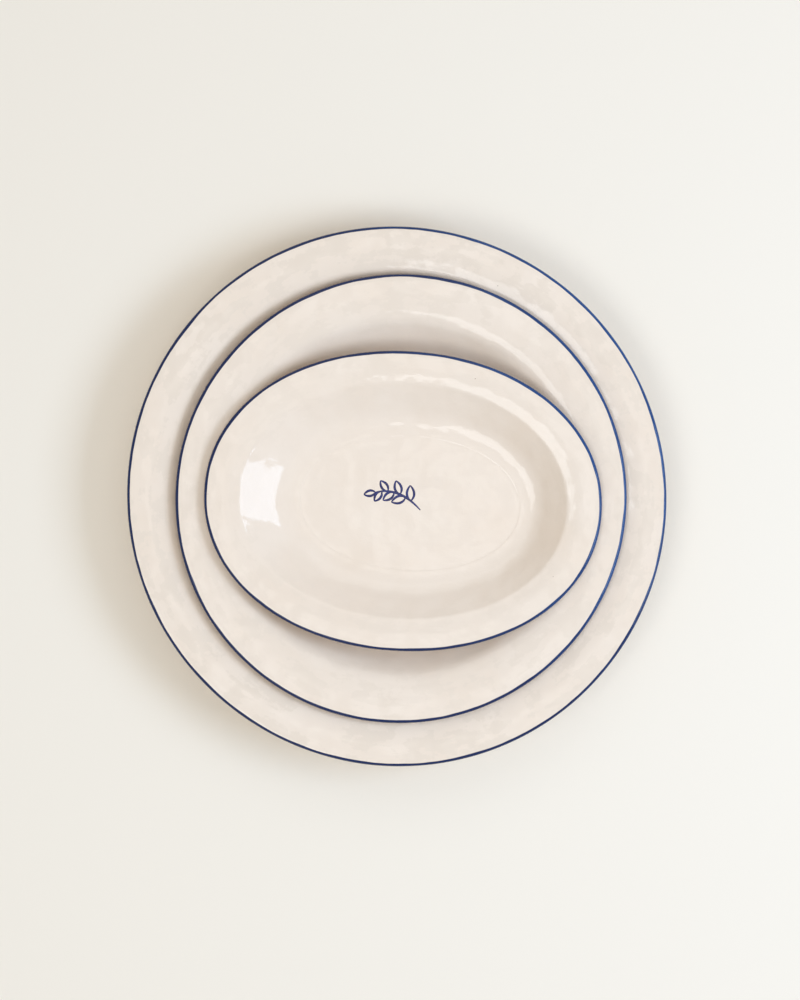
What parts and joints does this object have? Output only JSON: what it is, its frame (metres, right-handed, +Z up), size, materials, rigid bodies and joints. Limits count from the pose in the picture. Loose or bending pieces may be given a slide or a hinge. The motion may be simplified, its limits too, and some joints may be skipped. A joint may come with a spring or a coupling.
{
  "type": "nested plate set",
  "caption": "Nested set of hand-formed cream plates with blue painted lips: a round dinner plate, a round salad plate standing in it and an oval dish on top.",
  "frame": {"origin": "on the table, at the centre of the dinner plate's foot ring", "axes": "+Z up, +X to the right in the picture along the oval dish's length, +Y to the picture's top"},
  "size_m": [0.2748, 0.2752, 0.0342],
  "materials": {
    "cream_glaze": "glossy cream glaze, slightly uneven, with a blue painted lip",
    "blue_underglaze": "cobalt blue brushwork under the same glossy glaze"
  },
  "bodies": {
    "dinner_plate": {"dinner_plate": "cream_glaze"},
    "salad_plate": {"salad_plate": "cream_glaze"},
    "oval_dish": {"oval_dish": "cream_glaze"}
  },
  "joints": [
    {"name": "salad_plate_lift", "type": "slide", "parent": "dinner_plate", "child": "salad_plate", "axis": [0, 0, 1], "range_m": [0, 0.06]},
    {"name": "oval_dish_lift", "type": "slide", "parent": "salad_plate", "child": "oval_dish", "axis": [0, 0, 1], "range_m": [0, 0.06]}
  ]
}
